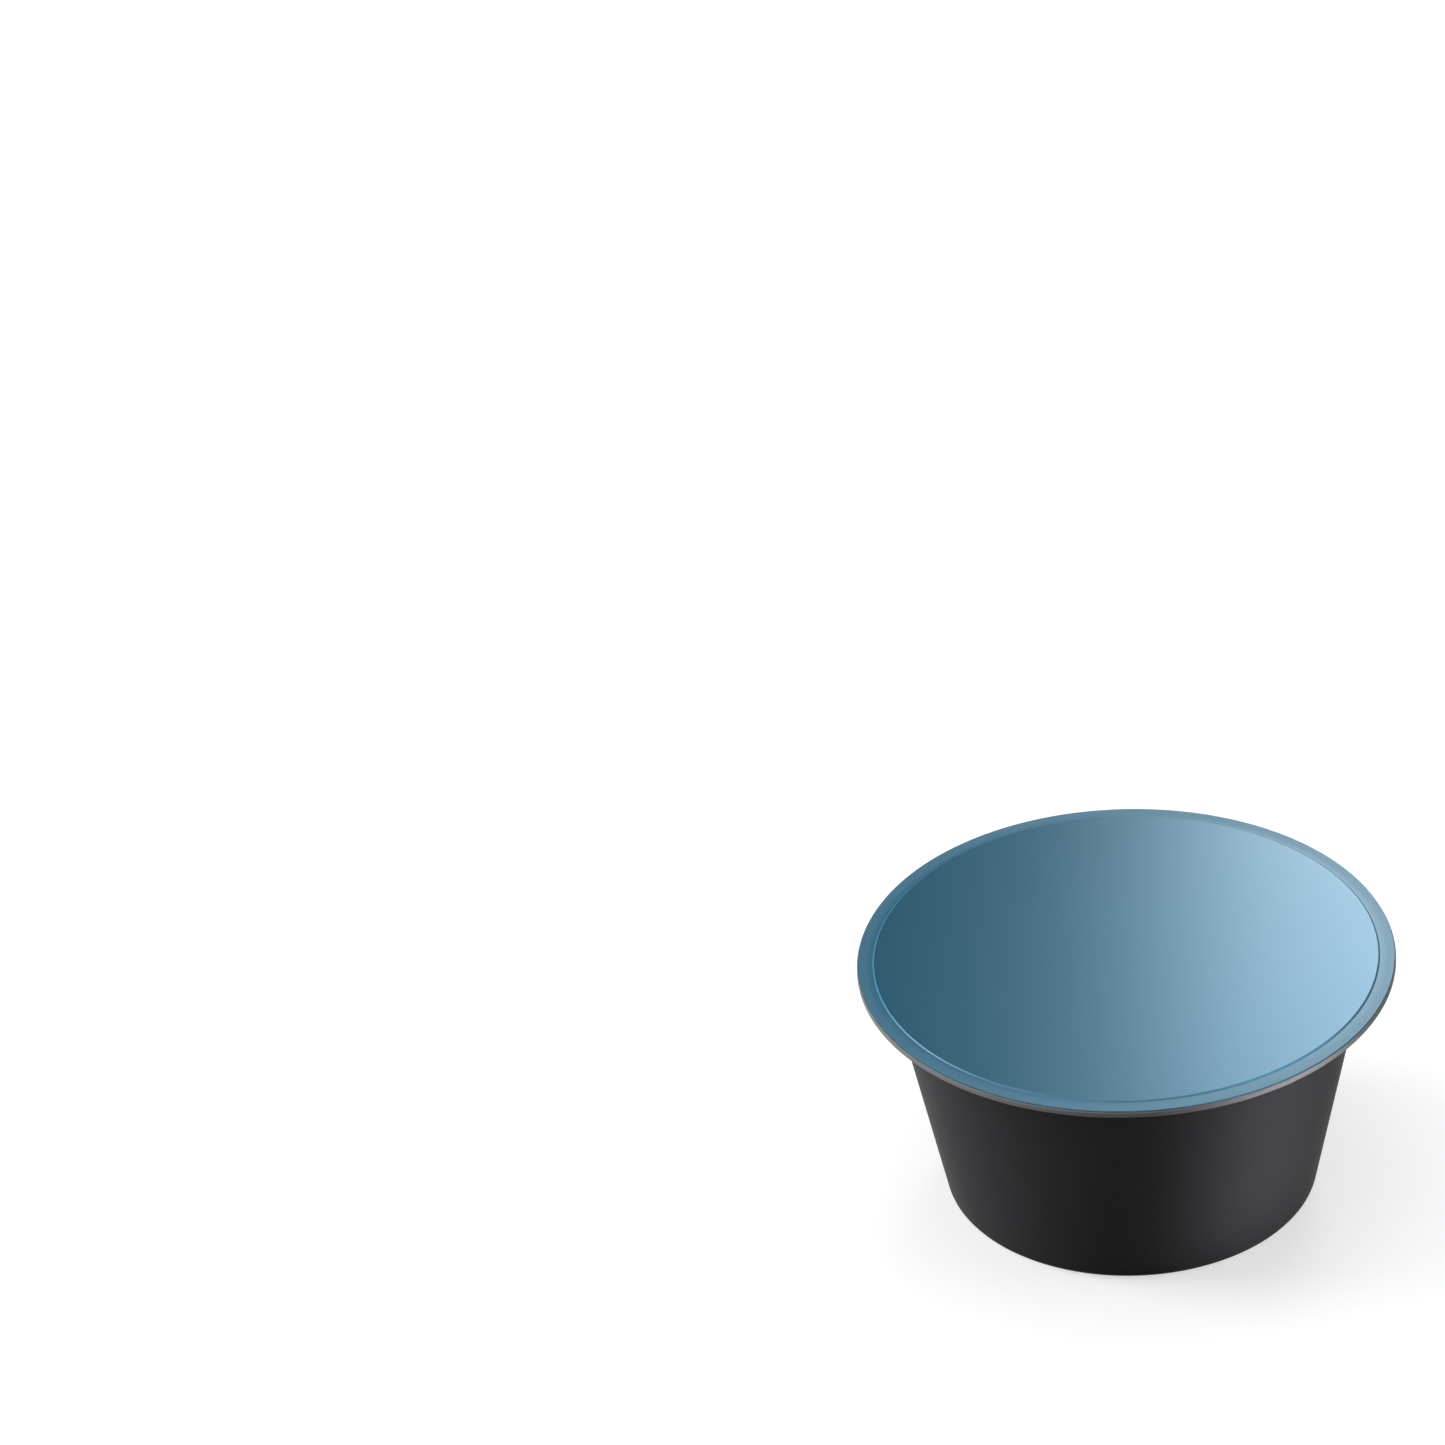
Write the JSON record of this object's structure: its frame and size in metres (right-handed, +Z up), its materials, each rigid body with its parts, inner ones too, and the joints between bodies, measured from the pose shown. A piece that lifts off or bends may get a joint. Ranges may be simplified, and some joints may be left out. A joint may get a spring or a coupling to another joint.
{
  "type": "coffee pod",
  "caption": "Sealed single-serve coffee pod: a tapered round plastic cup with a thin sealing flange and a recessed base, closed by a metallic blue film lid.",
  "frame": {"origin": "centre of the plane that the pod stands on", "axes": "+Z up along the cup's axis, from the base to the lid; the pod is round, so X and Y are free"},
  "size_m": [0.046, 0.046, 0.023],
  "materials": {
    "cup_plastic": "satin",
    "lid_foil": "satin"
  },
  "bodies": {
    "root": {"filled_cup": "cup_plastic", "lid_film": "lid_foil"}
  },
  "joints": []
}
